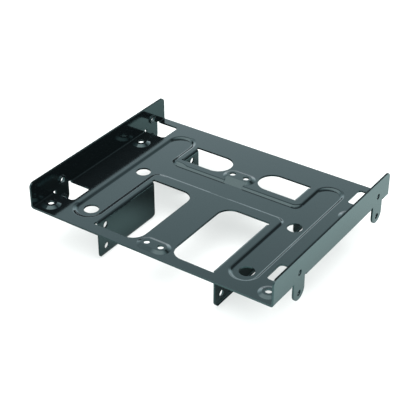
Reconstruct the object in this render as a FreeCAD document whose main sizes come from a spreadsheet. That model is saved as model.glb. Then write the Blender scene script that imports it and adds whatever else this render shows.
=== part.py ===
import FreeCAD, Part
import math
import os
import sys

import Sketcher

# Drive bay adapter bracket: one blank of steel sheet, punched, formed and folded.
# A flat plate carries two walls folded up along its long sides, four screw ears
# that reach down below the plate, and four guides folded down inside its cut-outs.
# Frame: +X to the right, +Y to the rear, +Z up. The origin is under the middle of
# the bracket, on the surface that it stands on with the lower edges of its guides.

SIZES = [
    # sheet
    ("sheet_thick", 1.0, "sheet thickness"),
    ("bend_inside", 0.5, "inside radius of every fold"),
    # plate and walls
    ("full_width", 146.0, "over the outer faces of the walls"),
    ("full_depth", 114.8, "front edge to rear edge"),
    ("wall_rise", 13.9, "top of the walls above the plate"),
    ("wall_front_round", 2.6, "corner of a wall at the front"),
    ("wall_rear_round", 3.2, "corner of a wall at the rear"),
    # screw ears at the bay's own screw pattern
    ("ear_middle", 5.75, "middle of the ear pattern, from the origin"),
    ("ear_pitch", 79.25, "front ear to rear ear"),
    ("ear_width", 10.0, "width of an ear, and of its round end"),
    ("ear_drop", 11.1, "tip of an ear below the plate"),
    ("side_hole", 3.2, "screw hole in a wall or an ear"),
    ("collar_width", 5.0, "collar drawn inward round a side hole"),
    ("collar_rise", 0.8, "collar, from the wall's inner face"),
    ("side_upper", 4.65, "upper side hole above the plate"),
    ("side_pitch", 11.84, "upper side hole to lower side hole"),
    # windows that free the ears
    ("window_reach", 14.3, "wall's outer face to the window's inner edge"),
    ("window_gap", 2.05, "relief between an ear and the window's end"),
    ("window_lift", 0.75, "top of the relief above the plate"),
    ("window_round", 2.2, "inner corners of a window"),
    # raised seats for two small drives side by side
    ("seat_middle", -11.575, "middle of the seat rows, from the origin"),
    ("drive_length", 76.6, "front hole row to rear hole row"),
    ("drive_width", 61.72, "hole to hole across one drive"),
    ("seat_inner", 4.2, "inner hole to the middle line"),
    ("seat_hole", 3.4, "drive screw hole"),
    ("seat_rise", 1.0, "seat above the plate"),
    ("seat_base", 5.2, "radius of a seat at its foot"),
    ("seat_slope", 64.0, "side of a seat, from upright"),
    ("seat_root", 0.3, "how deep a seat's foot starts inside the sheet"),
    ("ramp_half", 5.8, "half the ramp from the rear middle seat into the recess"),
    # recessed H with the four cushioned holes for one large drive
    ("recess_depth", 1.5, "recess below the plate"),
    ("recess_slope", 39.0, "side of the recess, from upright"),
    ("leg_width", 15.7, "width of a leg at its rim"),
    ("leg_front", -49.1, "front end of the legs"),
    ("leg_rear", 46.9, "rear end of the legs"),
    ("bar_gap", 5.8, "rear rim of the crossbar, ahead of the rear seats' middle"),
    ("bar_width", 14.9, "width of the crossbar at its rim"),
    ("bar_round", 3.6, "corner between crossbar and leg at the rim"),
    ("mount_width", 95.25, "large hole to large hole across"),
    ("mount_length", 44.45, "front large hole to rear large hole"),
    ("mount_middle", -17.55, "middle of the large holes, from the origin"),
    ("mount_hole", 8.0, "large hole"),
    # two large cut-outs
    ("opening_inner", 9.4, "inner edge of an opening to the middle line"),
    ("opening_front", -51.4, "front edge of the large cut-outs"),
    ("opening_rear", -0.6, "rear edge of the large cut-outs"),
    ("opening_round", 7.8, "inner corners of the large cut-outs"),
    # two slots behind the crossbar
    ("slot_ahead", 0.2, "middle of the rear slots, ahead of the rear guide holes"),
    ("slot_width", 16.1, "front to rear"),
    # guides folded down for two small drives, one above the other
    ("guide_gap", 70.0, "between the two facing guides"),
    ("guide_drop", 19.8, "straight part of a guide, below the plate"),
    ("guide_front", -49.55, "front end of the front guides"),
    ("guide_rear", -2.65, "rear end of the front guides"),
    ("tab_ahead", 7.2, "front end of the rear guides, ahead of their holes"),
    ("tab_behind", 6.1, "rear end of the rear guides, behind their holes"),
    ("guide_round", 3.2, "lower corners of a guide"),
    ("lead_in", 2.9, "radius of the lead-in along a guide's lower edge"),
    ("lead_angle", 45.0, "turn of the lead-in"),
    ("guide_hole", 3.6, "screw hole in a guide"),
    ("guide_lag", 6.075, "holes of the guides, behind the seats' middles"),
    ("guide_upper", 4.3, "upper guide hole below the plate"),
    ("guide_pitch", 12.9, "upper guide hole to lower guide hole"),
    # soft bend round the recess, on its upper side
    ("rim_round", 1.2, "bend from the plate into the recess"),
]

NODE = "bay_adapter_bracket"

doc = FreeCAD.newDocument("adapter_bracket")
sheet = doc.addObject("Spreadsheet::Sheet", "sizes")


class Size:
    """A length with its value and the cell formula that it follows."""

    def __init__(self, value, text):
        self.value = value
        self.text = text

    def _join(self, sign, other, swap=False):
        if not isinstance(other, Size):
            other = Size(float(other), repr(float(other)))
        a, b = (other, self) if swap else (self, other)
        if sign == "+":
            value = a.value + b.value
        elif sign == "-":
            value = a.value - b.value
        elif sign == "*":
            value = a.value * b.value
        else:
            value = a.value / b.value
        return Size(value, "(%s %s %s)" % (a.text, sign, b.text))

    def __add__(self, other):
        return self._join("+", other)

    def __radd__(self, other):
        return self._join("+", other, True)

    def __sub__(self, other):
        return self._join("-", other)

    def __rsub__(self, other):
        return self._join("-", other, True)

    def __mul__(self, other):
        return self._join("*", other)

    def __rmul__(self, other):
        return self._join("*", other, True)

    def __truediv__(self, other):
        return self._join("/", other)

    def __neg__(self):
        return self._join("*", -1.0)

    def root(self):
        return Size(math.sqrt(self.value), "sqrt(%s)" % self.text)

    def wave(self, name):
        """Sine, cosine or tangent of this many degrees."""
        value = getattr(math, name)(math.radians(self.value))
        return Size(value, "%s(%s * 1 deg)" % (name, self.text))


S = {}
for row, (alias, value, note) in enumerate(SIZES, start=1):
    sheet.set("A%d" % row, str(value))
    sheet.setAlias("A%d" % row, alias)
    sheet.set("B%d" % row, note)
    S[alias] = Size(value, "sizes.%s" % alias)
doc.recompute()

# values that follow from the sizes
thick = S["sheet_thick"]
bend_out = S["bend_inside"] + thick
half_width = S["full_width"] / 2.0
half_depth = S["full_depth"] / 2.0
wall_in = half_width - thick
guide_in = S["guide_gap"] / 2.0
guide_out = guide_in + thick
fold_line = guide_out + S["bend_inside"]
seat_rows = [S["seat_middle"] - S["drive_length"] / 2.0,
             S["seat_middle"] + S["drive_length"] / 2.0]
bar_rear = seat_rows[1] - S["bar_gap"]
front_hole_y = seat_rows[0] + S["guide_lag"]
rear_hole_y = seat_rows[1] + S["guide_lag"]
slot_middle = rear_hole_y - S["slot_ahead"]
tab_front = rear_hole_y - S["tab_ahead"]
tab_rear = rear_hole_y + S["tab_behind"]
turn_cos = S["lead_angle"].wave("cos")
turn_sin = S["lead_angle"].wave("sin")
# the sheet's lower skin ends the lead-in lowest, and the bracket stands on it
plate_top = S["guide_drop"] + (S["lead_in"] + thick) * turn_sin
plate_under = plate_top - thick

body = doc.addObject("PartDesign::Body", NODE)
body.Label = NODE
body.Placement = FreeCAD.Placement(FreeCAD.Vector(0, 0, 0), FreeCAD.Rotation())
doc.recompute()


def origin_plane(role):
    for feature in body.Origin.OriginFeatures:
        if feature.Role == role:
            return feature
    raise ValueError("no plane %s" % role)


def new_sketch(name, role, offset):
    """Empty sketch of the body, parallel to an origin plane."""
    sketch = body.newObject("Sketcher::SketchObject", name)
    sketch.AttachmentSupport = [(origin_plane(role), "")]
    sketch.MapMode = "FlatFace"
    shift = FreeCAD.Vector(0, 0, offset.value)
    sketch.AttachmentOffset = FreeCAD.Placement(shift, FreeCAD.Rotation())
    sketch.setExpression("AttachmentOffset.Base.z", offset.text)
    return sketch


def bind(sketch, kind, item, spot, size):
    """Ties one coordinate of a point to its formula."""
    if kind == "Radius":
        index = sketch.addConstraint(Sketcher.Constraint(kind, item, size.value))
    else:
        index = sketch.addConstraint(
            Sketcher.Constraint(kind, -1, 1, item, spot, size.value))
    sketch.setExpression("Constraints[%d]" % index, size.text)


def pin(sketch, item, spot, x, y):
    bind(sketch, "DistanceX", item, spot, x)
    bind(sketch, "DistanceY", item, spot, y)


def vec(x, y):
    return FreeCAD.Vector(x.value, y.value, 0)


def draw(sketch, pieces):
    """Closed outline. A piece is (start) for a line, or (start, middle) for an arc
    about that middle, with its way round: 1 for anticlockwise, -1 for clockwise."""
    items = []
    count = len(pieces)
    for i, piece in enumerate(pieces):
        start = piece[0]
        end = pieces[(i + 1) % count][0]
        if len(piece) == 1:
            items.append(sketch.addGeometry(
                Part.LineSegment(vec(*start), vec(*end)), False))
            continue
        middle = piece[1]
        way = piece[2]
        first, last = (start, end) if way > 0 else (end, start)
        radius = (vec(*first) - vec(*middle)).Length
        angles = [math.atan2(p[1].value - middle[1].value,
                             p[0].value - middle[0].value) for p in (first, last)]
        circle = Part.Circle(vec(*middle), FreeCAD.Vector(0, 0, 1), radius)
        items.append(sketch.addGeometry(
            Part.ArcOfCircle(circle, angles[0], angles[1]), False))
    for i, piece in enumerate(pieces):
        forward = len(piece) == 1 or piece[2] > 0
        start_spot = 1 if forward else 2
        pin(sketch, items[i], start_spot, *piece[0])
        before = pieces[i - 1]
        end_spot = 2 if len(before) == 1 or before[2] > 0 else 1
        sketch.addConstraint(Sketcher.Constraint(
            "Coincident", items[i - 1], end_spot, items[i], start_spot))
        if len(piece) == 3:
            # two fixed ends leave one freedom: the middle along the bisector
            end = pieces[(i + 1) % count][0]
            flat = abs(end[1].value - piece[0][1].value)
            steep = abs(end[0].value - piece[0][0].value)
            if flat > steep:
                bind(sketch, "DistanceX", items[i], 3, piece[1][0])
            else:
                bind(sketch, "DistanceY", items[i], 3, piece[1][1])


def rounded(sketch, corners):
    """Outline of straight runs along the axes, with rounded corners (x, y, radius)."""
    count = len(corners)
    pieces = []
    for i in range(count):
        here = corners[i]
        before = corners[i - 1]
        after = corners[(i + 1) % count]
        come = heading(before, here)
        leave = heading(here, after)
        radius = here[2]
        if radius is None:
            pieces.append(((here[0], here[1]),))
            continue
        enter = (here[0] - radius * come[0], here[1] - radius * come[1])
        exit_ = (here[0] + radius * leave[0], here[1] + radius * leave[1])
        middle = (enter[0] + radius * leave[0], enter[1] + radius * leave[1])
        way = 1 if come[0] * leave[1] - come[1] * leave[0] > 0 else -1
        pieces.append((enter, middle, way))
        reach = abs(after[0].value - here[0].value) + abs(after[1].value - here[1].value)
        used = radius.value + (after[2].value if after[2] is not None else 0.0)
        if reach - used > 1e-6:
            pieces.append((exit_,))
    draw(sketch, pieces)


def heading(a, b):
    dx = b[0].value - a[0].value
    dy = b[1].value - a[1].value
    if abs(dx) > abs(dy):
        return (math.copysign(1.0, dx), 0.0)
    return (0.0, math.copysign(1.0, dy))


def round_hole(sketch, x, y, radius):
    circle = Part.Circle(vec(x, y), FreeCAD.Vector(0, 0, 1), radius.value)
    item = sketch.addGeometry(circle, False)
    pin(sketch, item, 3, x, y)
    bind(sketch, "Radius", item, 0, radius)


def feature(kind, name, sketch, length, backward=False, slope=None):
    """Pad or pocket of a sketch. It has to change the solid's volume."""
    doc.recompute()
    before = body.Shape.Volume if body.Tip is not None else 0.0
    item = body.newObject("PartDesign::%s" % kind, name)
    item.Profile = sketch
    item.Length = length.value
    item.setExpression("Length", length.text)
    item.Reversed = backward
    if slope is not None:
        item.TaperAngle = slope.value
        item.setExpression("TaperAngle", slope.text)
    sketch.Visibility = False
    doc.recompute()
    if abs(body.Shape.Volume - before) < 0.5:
        raise ValueError("%s changes nothing" % name)
    return item


def soften(name, radius, wanted):
    """Rounds the edges that the given test picks."""
    doc.recompute()
    base = body.Tip
    names = []
    for number, edge in enumerate(base.Shape.Edges, start=1):
        if wanted(edge):
            names.append("Edge%d" % number)
    item = body.newObject("PartDesign::Fillet", name)
    item.Base = (base, names)
    item.Radius = radius.value
    item.setExpression("Radius", radius.text)
    doc.recompute()
    return item


# The folded U: plate, two bends and two walls, one section along the whole depth.
section = new_sketch("wall_section", "XZ_Plane", half_depth)
wall_top = plate_top + S["wall_rise"]
inner_z = plate_top + S["bend_inside"]
outer_z = plate_under + bend_out
bend_x = wall_in - S["bend_inside"]
draw(section, [
    ((-bend_x, plate_under),),
    ((bend_x, plate_under), (bend_x, outer_z), 1),
    ((half_width, outer_z),),
    ((half_width, wall_top),),
    ((wall_in, wall_top),),
    ((wall_in, inner_z), (bend_x, inner_z), -1),
    ((bend_x, plate_top),),
    ((-bend_x, plate_top), (-bend_x, inner_z), -1),
    ((-wall_in, inner_z),),
    ((-wall_in, wall_top),),
    ((-half_width, wall_top),),
    ((-half_width, outer_z), (-bend_x, outer_z), 1),
])
feature("Pad", "folded_plate", section, S["full_depth"], backward=True)


def wall_corner(edge):
    box_ = edge.BoundBox
    across = box_.XLength > 0.5 * thick.value and box_.YLength + box_.ZLength < 0.01
    return across and box_.ZMax > wall_top.value - 0.01


soften("front_corners", S["wall_front_round"],
       lambda e: wall_corner(e) and e.BoundBox.YMax < 0)
soften("rear_corners", S["wall_rear_round"],
       lambda e: wall_corner(e) and e.BoundBox.YMin > 0)

# Windows beside the walls. They also cut the relief notches through the fold.
ear_rows = [S["ear_middle"] - S["ear_pitch"] / 2.0, S["ear_middle"] + S["ear_pitch"] / 2.0]
window_half = S["ear_width"] / 2.0 + S["window_gap"]
window_in = half_width - S["window_reach"]
past = thick
windows = new_sketch("window_outlines", "XY_Plane", plate_top + S["window_lift"])
for side in (-1.0, 1.0):
    for ear_y in ear_rows:
        rounded(windows, [
            (window_in * side, ear_y - window_half * side, S["window_round"]),
            ((half_width + past) * side, ear_y - window_half * side, None),
            ((half_width + past) * side, ear_y + window_half * side, None),
            (window_in * side, ear_y + window_half * side, S["window_round"]),
        ])
feature("Pocket", "windows", windows, S["window_lift"] + thick * 2.0)

# Ears in the plane of the walls, with a round lower end.
ear_half = S["ear_width"] / 2.0
ear_foot = plate_top - S["ear_drop"]
for side, word in ((-1.0, "left"), (1.0, "right")):
    start = -half_width if side < 0 else wall_in
    ears = new_sketch("%s_ear_outlines" % word, "YZ_Plane", start)
    for ear_y in ear_rows:
        lift = plate_top + S["window_lift"] + thick
        draw(ears, [
            ((ear_y + ear_half, lift),),
            ((ear_y - ear_half, lift),),
            ((ear_y - ear_half, ear_foot + ear_half), (ear_y, ear_foot + ear_half), 1),
            ((ear_y, ear_foot), (ear_y, ear_foot + ear_half), 1),
            ((ear_y + ear_half, ear_foot + ear_half),),
        ])
    feature("Pad", "%s_ears" % word, ears, thick)

# Openings: two large cut-outs, and two slots with a round inner end.
slot_half = S["slot_width"] / 2.0
openings = new_sketch("opening_outlines", "XY_Plane", plate_top + past)
for side in (-1.0, 1.0):
    front = S["opening_front"] if side > 0 else S["opening_rear"]
    rear = S["opening_rear"] if side > 0 else S["opening_front"]
    rounded(openings, [
        (S["opening_inner"] * side, front, S["opening_round"]),
        (fold_line * side, front, None),
        (fold_line * side, rear, None),
        (S["opening_inner"] * side, rear, S["opening_round"]),
    ])
    rounded(openings, [
        (S["opening_inner"] * side, slot_middle - slot_half * side, slot_half),
        (fold_line * side, slot_middle - slot_half * side, None),
        (fold_line * side, slot_middle + slot_half * side, None),
        (S["opening_inner"] * side, slot_middle + slot_half * side, slot_half),
    ])
feature("Pocket", "openings", openings, thick + past * 2.0)

# Guides folded down from the outer edges of the openings. Their lower edges turn
# outward, so that a drive finds its way in between them.
straight_z = plate_top - S["guide_drop"]
pivot = guide_out + S["lead_in"]
near_x = pivot - S["lead_in"] * turn_cos
near_z = straight_z - S["lead_in"] * turn_sin
far_x = pivot - (S["lead_in"] + thick) * turn_cos
far_z = straight_z - (S["lead_in"] + thick) * turn_sin
under_in = plate_under - S["bend_inside"]
upper_in = plate_top - bend_out
overlap = fold_line + thick
for word, first, last in (("front", S["guide_front"], S["guide_rear"]),
                          ("rear", tab_front, tab_rear)):
    guides = new_sketch("%s_guide_section" % word, "XZ_Plane", -first)
    for side in (-1.0, 1.0):
        way = int(side)
        draw(guides, [
            ((overlap * side, plate_top),),
            ((fold_line * side, plate_top), (fold_line * side, upper_in), way),
            ((guide_in * side, upper_in),),
            ((guide_in * side, straight_z), (pivot * side, straight_z), way),
            ((far_x * side, far_z),),
            ((near_x * side, near_z), (pivot * side, straight_z), -way),
            ((guide_out * side, straight_z),),
            ((guide_out * side, under_in), (fold_line * side, under_in), -way),
            ((fold_line * side, plate_under),),
            ((overlap * side, plate_under),),
        ])
    feature("Pad", "%s_guides" % word, guides, last - first, backward=True)

# Lower corners of the guides.
corner_cut = new_sketch("guide_corners", "YZ_Plane", -(pivot + past))
for end, way in ((S["guide_front"], 1.0), (S["guide_rear"], -1.0),
                 (tab_front, 1.0), (tab_rear, -1.0)):
    radius = S["guide_round"]
    draw(corner_cut, [
        ((end + radius * way, far_z), (end + radius * way, far_z + radius), -int(way)),
        ((end, far_z + radius),),
        ((end - past * way, far_z + radius),),
        ((end - past * way, far_z - past),),
        ((end + radius * way, far_z - past),),
    ])
feature("Pocket", "round_guide_corners", corner_cut, (pivot + past) * 2.0, backward=True)

# Recessed H. The sheet keeps its thickness, so the underside stands out as far.
leg_middle = S["mount_width"] / 2.0
skin = ((90.0 - S["recess_slope"]) / 2.0).wave("tan") * thick


def h_outline(sketch, grow):
    leg_in = leg_middle - S["leg_width"] / 2.0 - grow
    leg_out = leg_middle + S["leg_width"] / 2.0 + grow
    end = S["leg_width"] / 2.0 + grow
    low = S["leg_front"] - grow
    high = S["leg_rear"] + grow
    bar_low = bar_rear - S["bar_width"] - grow
    bar_high = bar_rear + grow
    inner = S["bar_round"] - grow
    rounded(sketch, [
        (leg_out, low, end), (leg_out, high, end),
        (leg_in, high, end), (leg_in, bar_high, inner),
        (-leg_in, bar_high, inner), (-leg_in, high, end),
        (-leg_out, high, end), (-leg_out, low, end),
        (-leg_in, low, end), (-leg_in, bar_low, inner),
        (leg_in, bar_low, inner), (leg_in, low, end),
    ])


under_h = new_sketch("recess_underside", "XY_Plane", plate_under)
h_outline(under_h, skin)
feature("Pad", "recess_skin", under_h, S["recess_depth"], backward=True,
        slope=-S["recess_slope"])
top_h = new_sketch("recess_rim", "XY_Plane", plate_top)
h_outline(top_h, thick * 0.0)
feature("Pocket", "recess", top_h, S["recess_depth"], slope=-S["recess_slope"])


def lean_at(face, point):
    """Upright share of a face's normal at a point: 1 for a level face."""
    u, v = face.Surface.parameter(point)
    return abs(face.normalAt(u, v).z)


def formed_edges(height):
    """Picks the edges at this height where a level face meets a sloping one."""
    solid = body.Tip.Shape

    def wanted(edge):
        limits = edge.BoundBox
        if limits.ZLength > 1e-4:
            return False
        if abs(limits.ZMin - height.value) > 1e-3:
            return False
        middle = edge.valueAt((edge.FirstParameter + edge.LastParameter) / 2.0)
        leans = sorted(lean_at(face, middle)
                       for face in solid.ancestorsOfType(edge, Part.Face))
        return leans[-1] > 0.99 and 0.2 < leans[0] < 0.95

    return wanted


# The die rolls the plate softly into the recess and leaves its other bends crisp.
soften("recess_rim_bend", S["rim_round"], formed_edges(plate_top))

# Raised seats: a round one near each wall, and a long one for each middle pair.
seat_outer = S["seat_inner"] + S["drive_width"]
seat_skin = ((90.0 - S["seat_slope"]) / 2.0).wave("tan") * thick


def seat_outlines(sketch, grow):
    foot = S["seat_base"] + grow
    for row_y in seat_rows:
        for side in (-1.0, 1.0):
            round_hole(sketch, seat_outer * side, row_y, foot)
        reach = S["seat_inner"]
        draw(sketch, [
            ((-reach, row_y - foot),),
            ((reach, row_y - foot), (reach, row_y), 1),
            ((reach + foot, row_y), (reach, row_y), 1),
            ((reach, row_y + foot),),
            ((-reach, row_y + foot), (-reach, row_y), 1),
            ((-reach - foot, row_y), (-reach, row_y), 1),
        ])


# a seat starts inside the sheet, so that it also meets the soft rim of the recess
seat_top = new_sketch("seat_feet", "XY_Plane", plate_top - S["seat_root"])
seat_outlines(seat_top, S["seat_root"] * S["seat_slope"].wave("tan"))
feature("Pad", "seats", seat_top, S["seat_rise"] + S["seat_root"],
        slope=-S["seat_slope"])
seat_under = new_sketch("seat_hollows", "XY_Plane", plate_under)
seat_outlines(seat_under, -seat_skin)
feature("Pocket", "seat_undersides", seat_under, S["seat_rise"], backward=True,
        slope=-S["seat_slope"])

# Ramp: the front of the rear middle seat runs straight down to the recess's floor.
ramp_high = plate_top + S["seat_rise"]
ramp_low = plate_top - S["recess_depth"]
ramp_start = seat_rows[1] - S["seat_base"] + S["seat_rise"] * S["seat_slope"].wave("tan")
ramp_end = bar_rear - S["recess_depth"] * S["recess_slope"].wave("tan")
ramp_run = ramp_start - ramp_end
ramp_fall = ramp_high - ramp_low
ramp_long = (ramp_run * ramp_run + ramp_fall * ramp_fall).root()
# how far behind the upper line's ends the lower line's ends lie
ramp_back = thick * (ramp_long - ramp_run) / ramp_fall
ramp = new_sketch("ramp_section", "YZ_Plane", -S["ramp_half"])
draw(ramp, [
    ((ramp_start, ramp_high),),
    ((ramp_end, ramp_low),),
    ((ramp_end + ramp_back, ramp_low - thick),),
    ((ramp_start + ramp_back, ramp_high - thick),),
])
feature("Pad", "seat_ramp", ramp, S["ramp_half"] * 2.0)
above = new_sketch("above_ramp", "YZ_Plane", -S["ramp_half"])
draw(above, [
    ((ramp_start, ramp_high),),
    ((ramp_end, ramp_high),),
    ((ramp_end, ramp_low),),
])
feature("Pocket", "ramp_top", above, S["ramp_half"] * 2.0, backward=True)

# Drive screw holes through the seats, and the four large holes in the recess.
punched = new_sketch("plate_holes", "XY_Plane", plate_top + S["seat_rise"] + past)
for row_y in seat_rows:
    for hole_x in (-seat_outer, -S["seat_inner"], S["seat_inner"], seat_outer):
        round_hole(punched, hole_x, row_y, S["seat_hole"] / 2.0)
for across in (-1.0, 1.0):
    for along in (-1.0, 1.0):
        round_hole(punched, leg_middle * across,
                   S["mount_middle"] + S["mount_length"] / 2.0 * along,
                   S["mount_hole"] / 2.0)
feature("Pocket", "plate_punching", punched,
        S["seat_rise"] + S["recess_depth"] + thick + past * 2.0)

# Screw holes through the walls and ears. Each has a collar drawn inward for its thread.
side_low = plate_top + S["side_upper"] - S["side_pitch"]
side_spots = [(ear_y, height) for ear_y in ear_rows
              for height in (side_low, side_low + S["side_pitch"])]
bore = past + thick + S["collar_rise"] + past
for word, collar_x, bore_x in (
        ("left", -wall_in - thick / 2.0, -half_width - past),
        ("right", wall_in - S["collar_rise"], wall_in - S["collar_rise"] - past)):
    collars = new_sketch("%s_collar_outlines" % word, "YZ_Plane", collar_x)
    holes = new_sketch("%s_side_holes" % word, "YZ_Plane", bore_x)
    for along, height in side_spots:
        round_hole(collars, along, height, S["collar_width"] / 2.0)
        round_hole(holes, along, height, S["side_hole"] / 2.0)
    feature("Pad", "%s_collars" % word, collars, S["collar_rise"] + thick / 2.0)
    feature("Pocket", "%s_side_punching" % word, holes, bore, backward=True)

# Screw holes across the guides.
guide_high = plate_top - S["guide_upper"]
guide_punch = new_sketch("guide_holes", "YZ_Plane", -(pivot + past))
for hole_y in (front_hole_y, rear_hole_y):
    for height in (guide_high - S["guide_pitch"], guide_high):
        round_hole(guide_punch, hole_y, height, S["guide_hole"] / 2.0)
feature("Pocket", "guide_punching", guide_punch, (pivot + past) * 2.0, backward=True)

doc.recompute()
for item in doc.Objects:
    bad = [word for word in ("Invalid", "Error") if word in item.State]
    if bad:
        sys.exit("%s is in state %s" % (item.Name, bad))
shape = body.Shape
if shape.isNull() or not shape.isValid():
    sys.exit("the bracket's shape isn't valid")
if len(shape.Solids) != 1:
    sys.exit("the bracket is %d solids" % len(shape.Solids))
os.makedirs("parts", exist_ok=True)
shape.exportStep("parts/%s.step" % NODE)
limits = shape.BoundBox
print("size %.2f x %.2f x %.2f" % (limits.XLength, limits.YLength, limits.ZLength))
print("lowest %.3f, volume %.1f mm3" % (limits.ZMin, shape.Volume))
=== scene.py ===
import math

import bpy
import numpy as np
from bpy.props import FloatProperty, FloatVectorProperty, PointerProperty
from bpy.types import Operator, Panel, PropertyGroup
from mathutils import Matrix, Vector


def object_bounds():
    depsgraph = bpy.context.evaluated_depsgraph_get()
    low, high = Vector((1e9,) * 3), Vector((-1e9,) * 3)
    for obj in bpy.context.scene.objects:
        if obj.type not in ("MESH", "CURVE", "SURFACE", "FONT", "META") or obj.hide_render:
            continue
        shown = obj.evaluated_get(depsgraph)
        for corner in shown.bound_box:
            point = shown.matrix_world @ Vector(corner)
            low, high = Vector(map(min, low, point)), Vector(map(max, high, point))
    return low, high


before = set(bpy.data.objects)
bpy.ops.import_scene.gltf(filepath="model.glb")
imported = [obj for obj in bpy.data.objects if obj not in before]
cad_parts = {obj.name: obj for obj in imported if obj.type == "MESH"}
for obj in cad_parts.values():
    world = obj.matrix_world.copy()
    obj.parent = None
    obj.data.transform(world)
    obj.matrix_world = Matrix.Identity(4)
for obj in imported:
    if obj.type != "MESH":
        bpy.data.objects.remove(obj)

bl_info = {
    "name": "Drive Bay Bracket",
    "version": (1, 0, 0),
    "blender": (4, 5, 0),
    "location": "3D View > Sidebar > Bay Bracket",
    "description": "Dresses a folded sheet-metal drive bay adapter bracket for a studio picture",
    "category": "Object",
}

NODE = "bay_adapter_bracket"
CAD_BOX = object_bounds()

# directions in the CAD's frame
RIGHT = (1.0, 0.0, 0.0)
FRONT = (0.0, -1.0, 0.0)
UP = (0.0, 0.0, 1.0)

# rim of the recessed H, as the CAD makes it, in metres
LEG_X = 0.047625             # middle line of a leg
LEG_Y = -0.0011              # its middle, front to rear
LEG_HALF = 0.04015           # from there to the centre of a round end
LEG_ROUND = 0.00785          # half the width of a leg
BAR_Y = 0.013475             # middle line of the crossbar
BAR_HALF = 0.00745           # half its width
BAR_CORNER = 0.0036          # corner between crossbar and leg

# The paint's shading changes in these places. Each pair of limits, in metres, is where a
# share starts to rise from 0 and where it reaches 1.
IN_RECESS = (0.0, 0.0002)             # distance inside the recess
BESIDE_RAMP = (0.0056, 0.0061)        # sideways from the middle line
ON_LEFT_LEG = (0.0300, 0.0340)        # to the left
LEFT_LEG_INNER = (-0.0460, -0.0440)   # to the right, from the left leg's middle line
LEFT_LEG_OUTER = (0.0500, 0.0520)     # to the left, on the leg's outer slope
LEG_FRONT_END = (0.0400, 0.0420)      # to the front
BEHIND_FRONT_END = (-0.0410, -0.0370)  # to the rear
SEAT_FRONT = (0.0505, 0.0520)         # to the front, over the middle seat's front side
SEAT_LEFT_END = (-0.0125, -0.0115)    # to the right, from the seat's left end
SEAT_LIGHT_END = (0.0010, 0.0055)     # to the right, below the seat's right hole
WALL_TOP = (0.0361, 0.0362)           # height of the walls' top edges

# limits of the same kind for how far a face looks up: 0 on edge, 1 level
NOT_WALL = (0.60, 0.65)               # slopes and level faces, but no wall
NEARLY_LEVEL = (0.80, 0.85)           # level faces and the seats' sides

WIDER_RIM = 0.0011           # how much wider the left leg's far rim is shaded, in metres
WIDER_REACH = 3.0            # the shading starts this many times WIDER_RIM outside the rim
OUTER_EASE = 0.36            # how much less steep the left leg's outer slope is shaded
SEAT_EASE = 0.6              # how much less steep the middle seat's front side is shaded

# fine marks in the paint, in waves per metre
CLOUD_SCALE = 38.0           # broad unevenness of the gloss
RUB_SCALE = 210.0            # rub marks
DUST_SCALE = 2600.0          # specks of dust
DUST_LEVELS = (0.72, 0.80)   # noise between which a speck appears
DUST_COLOUR = (0.03, 0.034, 0.034)
DUST_SHARE = 0.12            # how much a speck lightens the paint
RUB_SHARE = 0.05             # how much a rub mark lightens it
ROUGH_SWING = 0.05           # how much each mark changes the roughness

# stage
# Painted shade: the floor darkens toward its left side for every ray but the camera's, standing
# in for the shadow under and behind the bracket.
FLOOR_TURN = (-0.05, 0.11)   # across the floor, from its dim to its lighter side
FLOOR_POINTS = 13            # points along each side of the floor
FLOOR_GAP = 0.0002           # floor below the bracket's lowest point
FLOOR_WHITE = (0.965, 1.0, 0.99)
GAP_LOSS = 0.8               # share of the back card's light that is lost in the gap over it
LAMPS = (                    # name, place, width and length in metres, power in watts
    ("overhead_softbox", (0.05, -0.15, 1.0), (1.4, 1.3), 34.0),
    ("right_softbox", (1.0, 0.1, 0.5), (0.6, 0.6), 4.0),
)
SENSOR_WIDTH = 36.0          # camera's frame in millimetres
NEAREST = 0.01               # nearest distance that the camera sees, in metres


# sizes and colours that a user would change

class PaintSettings(PropertyGroup):
    body_colour: FloatVectorProperty(
        name="Paint colour", description="Colour of the black paint itself",
        subtype="COLOR", size=3, min=0.0, max=1.0, default=(0.0014, 0.0020, 0.0024))
    sheen_tint: FloatVectorProperty(
        name="Gloss tint", description="Tint of the paint's mirror-like gloss seen head on",
        subtype="COLOR", size=3, min=0.0, max=1.0, default=(0.55, 0.96, 0.98))
    gloss_index: FloatProperty(
        name="Gloss index", description="Refractive index of the paint",
        default=1.95, min=1.0, max=2.5)
    roughness: FloatProperty(
        name="Roughness", description="Mean roughness of the paint",
        subtype="FACTOR", default=0.10, min=0.0, max=1.0)
    edge_round: FloatProperty(
        name="Edge round", description="How far the paint rounds the sheared edges",
        subtype="DISTANCE", unit="LENGTH", default=0.00035, min=0.0)
    peel_size: FloatProperty(
        name="Peel size", description="Width of one wave of the paint's fine orange peel",
        subtype="DISTANCE", unit="LENGTH", default=0.0016, min=0.0001)
    peel_height: FloatProperty(
        name="Peel height", description="Height of the fine orange peel",
        subtype="DISTANCE", unit="LENGTH", default=0.0000022, min=0.0)
    slope_grade: FloatProperty(
        name="Slope grade", description="Steepness that the recess's slopes are shaded with",
        default=0.51, min=0.0, max=2.0)
    rim_bend: FloatVectorProperty(
        name="Rim bend", description="Where the slope's shading is steep and where it ends",
        unit="LENGTH", size=2, default=(-0.0007, 0.0002))
    foot_bend: FloatVectorProperty(
        name="Foot bend", description="Depths between which the slope's shading runs out",
        unit="LENGTH", size=2, default=(0.00145, 0.00225))
    edge_lean: FloatProperty(
        name="Edge lean", description="How far the walls' top edges lean to the right",
        default=0.5, min=0.0, max=2.0)
    floor_line: FloatVectorProperty(
        name="Floor line", description="Shift of the shaded line round the recess's floor",
        subtype="TRANSLATION", unit="LENGTH", size=3, default=(0.00072, -0.00115, 0.0))


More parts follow.
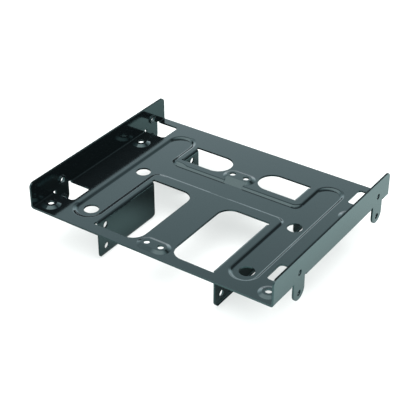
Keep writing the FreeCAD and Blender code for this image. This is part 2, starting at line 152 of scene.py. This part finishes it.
class StageSettings(PropertyGroup):
    floor_colour: FloatVectorProperty(
        name="Floor colour", description="Colour of the floor for the camera",
        subtype="COLOR", size=3, min=0.0, max=1.0, default=(0.78, 0.805, 0.80))
    floor_mirrored: FloatVectorProperty(
        name="Mirrored floor", description="Colour of the floor's right side in the gloss",
        subtype="COLOR", size=3, min=0.0, max=1.0, default=(0.362, 0.422, 0.418))
    # Painted shade: the floor's left side is darker for every ray but the camera's. It stands in
    # for the shadow under and behind the bracket, which the gloss mirrors.
    floor_painted_shade: FloatVectorProperty(
        name="Dim floor", description="Colour of the floor's left side in the gloss",
        subtype="COLOR", size=3, min=0.0, max=1.0, default=(0.155, 0.182, 0.18))
    floor_size: FloatProperty(
        name="Floor size", description="Side of the square floor",
        subtype="DISTANCE", unit="LENGTH", default=6.0, min=0.5)
    floor_glow: FloatProperty(
        name="Floor glow", description="Share of plain white that lightens the floor's shadow",
        subtype="FACTOR", default=0.66, min=0.0, max=1.0)
    sky_level: FloatProperty(
        name="Sky level", description="Light of the white surroundings",
        default=0.95, min=0.0, max=2.0)
    card_low: FloatProperty(
        name="Back card, foot", description="Light of the back card at the horizon",
        default=1.72, min=0.0, max=4.0)
    card_high: FloatProperty(
        name="Back card, top", description="Light of the back card at its upper edge",
        default=0.50, min=0.0, max=4.0)
    card_rise: FloatVectorProperty(
        name="Back card, rise", description="Heights between which the back card darkens",
        size=2, default=(0.28, 0.66))
    card_tint: FloatVectorProperty(
        name="Card tint", description="Colour of the back card's light",
        subtype="COLOR", size=3, min=0.0, max=1.0, default=(0.955, 0.955, 1.0))
    card_gap: FloatVectorProperty(
        name="Gap over the card", description="Heights between which the dark gap begins",
        size=2, default=(0.74, 0.80))
    overhead: FloatProperty(
        name="Overhead box", description="Light of the large box overhead and in front",
        default=2.10, min=0.0, max=4.0)
    overhead_tint: FloatVectorProperty(
        name="Overhead tint", description="Colour of the overhead box's light",
        subtype="COLOR", size=3, min=0.0, max=1.0, default=(1.0, 0.80, 0.80))
    overhead_edge: FloatVectorProperty(
        name="Overhead edge", description="Directions toward the front where the box begins",
        size=2, default=(-0.50, -0.10))
    overhead_foot: FloatVectorProperty(
        name="Overhead foot", description="Heights between which the overhead box begins",
        size=2, default=(0.55, 0.78))
    front_level: FloatProperty(
        name="Front side", description="Light of the surroundings in front, below the box",
        default=0.85, min=0.0, max=4.0)
    right_level: FloatProperty(
        name="Right side", description="Light of the surroundings on the right",
        default=0.10, min=0.0, max=4.0)
    right_edge: FloatVectorProperty(
        name="Right edge", description="Directions to the right where that side begins",
        size=2, default=(0.14, 0.26))


class CameraSettings(PropertyGroup):
    place: FloatVectorProperty(
        name="Place", description="Where the camera stands",
        subtype="TRANSLATION", unit="LENGTH", size=3,
        default=(0.27402, -0.40438, 0.33889))
    turn: FloatVectorProperty(
        name="Turn", description="The camera's angles about X, Y and Z",
        subtype="EULER", unit="ROTATION", size=3,
        default=(math.radians(56.6961), math.radians(-0.0749), math.radians(34.3989)))
    lens: FloatProperty(
        name="Lens", description="Focal length in millimetres on a 36 mm frame",
        default=97.271, min=10.0)


# shader maths

class Wire:
    """A shader socket that can be added, multiplied and so on like a number."""

    def __init__(self, tree, socket):
        self.tree = tree
        self.socket = socket

    def _math(self, operation, *values):
        return node(self.tree, "ShaderNodeMath", {"operation": operation}, values)

    def __add__(self, other):
        return self._math("ADD", self, other)

    def __radd__(self, other):
        return self._math("ADD", other, self)

    def __sub__(self, other):
        return self._math("SUBTRACT", self, other)

    def __rsub__(self, other):
        return self._math("SUBTRACT", other, self)

    def __mul__(self, other):
        return self._math("MULTIPLY", self, other)

    def __rmul__(self, other):
        return self._math("MULTIPLY", other, self)

    def clamp(self):
        return node(self.tree, "ShaderNodeClamp", {}, (self, 0.0, 1.0))

    def size(self):
        return self._math("ABSOLUTE", self)

    def root(self):
        return self._math("SQRT", self)

    def least(self, other):
        return self._math("MINIMUM", self, other)

    def most(self, other):
        return self._math("MAXIMUM", self, other)


def node(tree, kind, settings=None, values=(), output=0):
    """Adds a node, sets it up, fills its sockets by place or by name, and gives one output."""
    item = tree.nodes.new(kind)
    for key, value in (settings or {}).items():
        if key == "stops":
            ramp = item.color_ramp.elements
            while len(ramp) < len(value):
                ramp.new(0.5)
            for stop, (place, colour) in zip(ramp, value):
                stop.position = place
                stop.color = colour
        else:
            setattr(item, key, value)
    pairs = values.items() if isinstance(values, dict) else enumerate(values)
    for key, value in pairs:
        if isinstance(value, Wire):
            tree.links.new(value.socket, item.inputs[key])
        elif value is not None:
            item.inputs[key].default_value = value
    return Wire(tree, item.outputs[output])


def new_material(name):
    """Empty material with its output node."""
    material = bpy.data.materials.new(name)
    material.use_nodes = True
    tree = material.node_tree
    tree.nodes.clear()
    out = tree.nodes.new("ShaderNodeOutputMaterial")
    return material, tree, out


def along(tree, vector, axis):
    """One of the numbers X, Y and Z of a vector."""
    return node(tree, "ShaderNodeSeparateXYZ", {}, (vector,), output=axis)


def mix_vectors(tree, share, first, second):
    """The first vector at a share of 0, and the second at 1."""
    return node(tree, "ShaderNodeMix", {"data_type": "VECTOR"},
                {0: share, 4: first, 5: second}, output=1)


def mix_colours(tree, share, first, second):
    """The first colour at a share of 0, and the second at 1."""
    first, second = [colour if isinstance(colour, Wire) else (*colour, 1.0)
                     for colour in (first, second)]
    return node(tree, "ShaderNodeMix", {"data_type": "RGBA"},
                {0: share, 6: first, 7: second}, output=2)


def between(value, limits):
    """0 up to the first limit, 1 from the second on, and even in between."""
    start, end = limits
    return ((value - start) * (1.0 / (end - start))).clamp()


def looks_up(tree, limits):
    """Share that rises between two limits of how far the face looks up."""
    facing = node(tree, "ShaderNodeNewGeometry", {}, (), output="Normal")
    return between(along(tree, facing, "Z"), limits)


def seen_directly(tree):
    """1 for a ray from the camera, also through glass, and 0 for any other."""
    camera = node(tree, "ShaderNodeLightPath", {}, (), output="Is Camera Ray")
    through = node(tree, "ShaderNodeLightPath", {}, (), output="Is Transmission Ray")
    return (camera + through).clamp()


def recess_reach(tree, place):
    """Distance from the rim of the recessed H: above 0 outside it and below 0 inside.

    A leg is the distance to its middle line less half its width. The bar is the larger of
    the distances past its edge and past the legs' middle lines. The H takes the smaller of
    the two, with a circle in each corner between them."""
    x, y = along(tree, place, "X"), along(tree, place, "Y")
    past_end = ((y - LEG_Y).size() - LEG_HALF).most(0.0)
    off_leg = x.size() - LEG_X
    leg = (off_leg * off_leg + past_end * past_end).root() - LEG_ROUND
    bar = ((y - BAR_Y).size() - BAR_HALF).most(off_leg)
    near_leg = (BAR_CORNER - leg).most(0.0)
    near_bar = (BAR_CORNER - bar).most(0.0)
    corner = (near_leg * near_leg + near_bar * near_bar).root()
    return leg.least(bar).most(BAR_CORNER) - corner


def soft_slopes(tree, place, plain, paint):
    """The plain normal, but softer on the recess's slopes, as a press leaves them.

    The slope is the gradient of the distance inside the rim, times its grade. It counts
    fully between the bend at the rim and the bend at the floor, and not on the ramp."""
    x, y = along(tree, place, "X"), along(tree, place, "Y")
    moved = node(tree, "ShaderNodeVectorMath", {"operation": "ADD"},
                 (place, tuple(paint.floor_line)))
    reach = recess_reach(tree, place)
    depth = 0.0 - recess_reach(tree, moved)
    level = node(tree, "ShaderNodeCombineXYZ", {}, UP)
    slope = node(tree, "ShaderNodeBump", {}, {
        "Strength": 1.0, "Distance": 1.0, "Height": reach * paint.slope_grade, "Normal": level})

    far_side = between(x, LEFT_LEG_INNER).most(between(0.0 - y, LEG_FRONT_END))
    wider = far_side * between(0.0 - x, ON_LEFT_LEG) * WIDER_RIM
    ease = OUTER_EASE * between(0.0 - x, LEFT_LEG_OUTER) * between(y, BEHIND_FRONT_END)
    steep = ((1.0 - between(reach - wider, paint.rim_bend)) * (1.0 - ease)
             * (1.0 - between(depth.most(0.0 - reach), paint.foot_bend)))
    inside = (looks_up(tree, NOT_WALL) * between(x.size(), BESIDE_RAMP)
              * between(depth + wider * WIDER_REACH, IN_RECESS))
    return mix_vectors(tree, inside, plain, mix_vectors(tree, steep, level, slope))


def eased_seat(tree, place, plain):
    """The plain normal, but nearly level on the front side of the front middle seat, from
    its left end to the light end below its right hole."""
    x, y = along(tree, place, "X"), along(tree, place, "Y")
    level = node(tree, "ShaderNodeCombineXYZ", {}, UP)
    ease = SEAT_EASE * between(0.0 - y, SEAT_FRONT) * looks_up(tree, NEARLY_LEVEL) * (
        between(x, SEAT_LEFT_END) * (1.0 - between(x, SEAT_LIGHT_END)))
    return mix_vectors(tree, ease, plain, level)


def rolled_tops(tree, place, plain, paint):
    """The plain normal, but leaning to the right on the walls' top edges, where the shears
    rolled them over."""
    lean = node(tree, "ShaderNodeVectorMath", {"operation": "NORMALIZE"},
                ((paint.edge_lean, 0.0, 1.0),))
    top = looks_up(tree, NEARLY_LEVEL) * between(along(tree, place, "Z"), WALL_TOP)
    return mix_vectors(tree, top, plain, lean)


def gloss_black_paint(paint):
    """Smooth gloss black paint: near-black body, tinted clear gloss, fine orange peel,
    a little unevenness in the gloss, and faint dust and rub marks."""
    material, tree, out = new_material("gloss_black_paint")
    place = node(tree, "ShaderNodeTexCoord", output="Object")

    def noise(scale, detail, rough=0.5):
        return node(tree, "ShaderNodeTexNoise", {"noise_dimensions": "3D"},
                    {"Vector": place, "Scale": scale, "Detail": detail, "Roughness": rough})

    peel = noise(1.0 / paint.peel_size, 2.0)
    cloud = noise(CLOUD_SCALE, 3.0)
    rub = noise(RUB_SCALE, 6.0, 0.7)
    dust = noise(DUST_SCALE, 1.0)
    bare, full = DUST_LEVELS
    speck = node(tree, "ShaderNodeValToRGB",
                 {"stops": [(bare, (0, 0, 0, 1)), (full, (1, 1, 1, 1))]}, (dust,))
    rough = (paint.roughness + ROUGH_SWING * (cloud - 0.5) + ROUGH_SWING * (rub - 0.5)
             + ROUGH_SWING * speck)
    colour = mix_colours(tree, speck * DUST_SHARE + rub * RUB_SHARE,
                         paint.body_colour, DUST_COLOUR)
    normal = node(tree, "ShaderNodeBevel", {"samples": 6}, {"Radius": paint.edge_round})
    normal = eased_seat(tree, place, normal)
    normal = soft_slopes(tree, place, normal, paint)
    normal = rolled_tops(tree, place, normal, paint)
    bump = node(tree, "ShaderNodeBump", {}, {
        "Strength": 1.0, "Distance": paint.peel_height, "Height": peel, "Normal": normal})
    shader = node(tree, "ShaderNodeBsdfPrincipled", {}, {
        "Base Color": colour, "Roughness": rough.clamp(), "IOR": paint.gloss_index,
        "Specular Tint": (*paint.sheen_tint, 1.0), "Normal": bump})
    tree.links.new(shader.socket, out.inputs["Surface"])
    return material


def floor_material(stage):
    """Matt pale floor. For every ray but the camera's, its left side is darker: a painted shade
    that stands in for the shadow under and behind the bracket, where the gloss mirrors it. For
    the camera, part of it is plain white, so that it joins the white background and keeps a
    light shadow."""
    material, tree, out = new_material("pale_floor")
    place = node(tree, "ShaderNodeTexCoord", output="Object")
    # Painted shade: the floor is darker on its left side, standing in for the shadow under and
    # behind the bracket. The camera does not see this shade.
    mirrored = mix_colours(tree, between(along(tree, place, "X"), FLOOR_TURN),
                           stage.floor_painted_shade, stage.floor_mirrored)
    colour = mix_colours(tree, seen_directly(tree), mirrored, stage.floor_colour)
    matt = node(tree, "ShaderNodeBsdfPrincipled", {}, {
        "Base Color": colour, "Roughness": 0.9, "Specular IOR Level": 0.2})
    white = node(tree, "ShaderNodeEmission", {},
                 {"Color": (*FLOOR_WHITE, 1.0), "Strength": 1.0})
    mix = node(tree, "ShaderNodeMixShader", {},
               (seen_directly(tree) * stage.floor_glow, matt, white))
    tree.links.new(mix.socket, out.inputs["Surface"])
    return material


def surroundings(stage):
    """White for the camera. The gloss mirrors a card at the back that darkens upward and
    ends at a dark gap, a bright box overhead and in front, the front side below that box,
    and a dim right side. The rest of the light is even."""
    world = bpy.data.worlds.new("studio_surroundings")
    world.use_nodes = True
    tree = world.node_tree
    tree.nodes.clear()
    out = tree.nodes.new("ShaderNodeOutputWorld")
    way = node(tree, "ShaderNodeTexCoord", output="Generated")

    def toward(direction):
        return node(tree, "ShaderNodeVectorMath", {"operation": "DOT_PRODUCT"},
                    (way, direction), output=1)

    rise = between(toward(UP), stage.card_rise)
    card = stage.card_low + rise * (stage.card_high - stage.card_low)
    card = card * (1.0 - GAP_LOSS * between(toward(UP), stage.card_gap))
    right = between(toward(RIGHT), stage.right_edge)
    card = card * (1.0 - right) + right * stage.right_level
    front = between(toward(FRONT), stage.overhead_edge)
    box = front * between(toward(UP), stage.overhead_foot)
    mirrored = card * (1.0 - front) + (front - box) * stage.front_level + box * stage.overhead

    direct = seen_directly(tree)
    gloss = node(tree, "ShaderNodeLightPath", {}, (), output="Is Glossy Ray")
    level = (direct + (1.0 - direct) * gloss * mirrored
             + (1.0 - direct) * (1.0 - gloss) * stage.sky_level)
    tint = mix_colours(tree, box, stage.card_tint, stage.overhead_tint)
    colour = mix_colours(tree, (1.0 - direct) * gloss, (1.0, 1.0, 1.0), tint)
    sky = node(tree, "ShaderNodeBackground", {}, {"Color": colour, "Strength": level})
    tree.links.new(sky.socket, out.inputs["Surface"])
    return world


def grid_sheet(name, size, count):
    """Level square: x and y run evenly from minus half the size to plus half, z is 0."""
    line = np.linspace(-0.5 * size, 0.5 * size, count)
    x, y = np.meshgrid(line, line)
    points = np.stack([x.ravel(), y.ravel(), np.zeros(count * count)], axis=1)
    cell = np.arange(count * count).reshape(count, count)
    faces = np.stack([cell[:-1, :-1], cell[:-1, 1:], cell[1:, 1:], cell[1:, :-1]], axis=-1)
    mesh = bpy.data.meshes.new(name)
    mesh.from_pydata(points.tolist(), [], faces.reshape(-1, 4).tolist())
    thing = bpy.data.objects.new(name, mesh)
    bpy.context.scene.collection.objects.link(thing)
    return thing


def area_lamp(name, place, size, power):
    """Rectangular lamp, turned to face the bracket: its tilt is the angle from straight up
    to its place, and its turn follows its place round the middle."""
    data = bpy.data.lights.new(name, "AREA")
    data.shape = "RECTANGLE"
    data.size, data.size_y = size
    data.energy = power
    lamp = bpy.data.objects.new(name, data)
    lamp.location = place
    x, y, z = place
    lamp.rotation_euler = (math.atan2(math.hypot(x, y), z), 0.0,
                           math.atan2(y, x) + math.pi / 2.0)
    lamp.visible_glossy = False
    bpy.context.scene.collection.objects.link(lamp)


class BRACKET_OT_finish(Operator):
    """Paint the folded bracket gloss black"""
    bl_idname = "bay_bracket.finish"
    bl_label = "Paint the bracket"

    def execute(self, context):
        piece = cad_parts[NODE]
        paint = gloss_black_paint(context.scene.bay_bracket_paint)
        piece.data.materials.clear()
        piece.data.materials.append(paint)
        return {"FINISHED"}


class BRACKET_OT_stage(Operator):
    """Set up the pale floor, the surroundings and the lamps"""
    bl_idname = "bay_bracket.stage"
    bl_label = "Set the stage"

    def execute(self, context):
        stage = context.scene.bay_bracket_stage
        ground = grid_sheet("pale_floor", stage.floor_size, FLOOR_POINTS)
        ground.location.z = CAD_BOX[0][2] - FLOOR_GAP
        ground.data.materials.append(floor_material(stage))

        context.scene.world = surroundings(stage)
        for lamp in LAMPS:
            area_lamp(*lamp)
        return {"FINISHED"}


class BRACKET_OT_camera(Operator):
    """Stand the camera where the photograph was taken"""
    bl_idname = "bay_bracket.camera"
    bl_label = "Place the camera"

    def execute(self, context):
        settings = context.scene.bay_bracket_camera
        data = bpy.data.cameras.new("photo_camera")
        data.lens = settings.lens
        data.sensor_width = SENSOR_WIDTH
        data.clip_start = NEAREST
        camera = bpy.data.objects.new("photo_camera", data)
        camera.location = settings.place
        camera.rotation_euler = settings.turn
        context.scene.collection.objects.link(camera)
        context.scene.camera = camera
        return {"FINISHED"}


class BRACKET_PT_panel(Panel):
    """Lists the steps that dress the bracket"""
    bl_label = "Drive Bay Bracket"
    bl_idname = "BRACKET_PT_panel"
    bl_space_type = "VIEW_3D"
    bl_region_type = "UI"
    bl_category = "Bay Bracket"

    def draw(self, context):
        column = self.layout.column()
        for step in STEPS:
            column.operator(step.bl_idname, text=step.bl_label)
        for group in ("bay_bracket_paint", "bay_bracket_stage", "bay_bracket_camera"):
            settings = getattr(context.scene, group)
            for name in settings.bl_rna.properties.keys():
                if name not in ("rna_type", "name"):
                    column.prop(settings, name)


STEPS = (BRACKET_OT_finish, BRACKET_OT_stage, BRACKET_OT_camera)
CLASSES = (PaintSettings, StageSettings, CameraSettings) + STEPS + (BRACKET_PT_panel,)


def register():
    for item in CLASSES:
        bpy.utils.register_class(item)
    bpy.types.Scene.bay_bracket_paint = PointerProperty(type=PaintSettings)
    bpy.types.Scene.bay_bracket_stage = PointerProperty(type=StageSettings)
    bpy.types.Scene.bay_bracket_camera = PointerProperty(type=CameraSettings)


def unregister():
    del bpy.types.Scene.bay_bracket_paint
    del bpy.types.Scene.bay_bracket_stage
    del bpy.types.Scene.bay_bracket_camera
    for item in reversed(CLASSES):
        bpy.utils.unregister_class(item)


def main():
    register()
    bpy.context.scene.view_settings.view_transform = "Standard"
    bpy.ops.bay_bracket.finish()
    bpy.ops.bay_bracket.stage()
    bpy.ops.bay_bracket.camera()


if __name__ == "__main__":
    main()
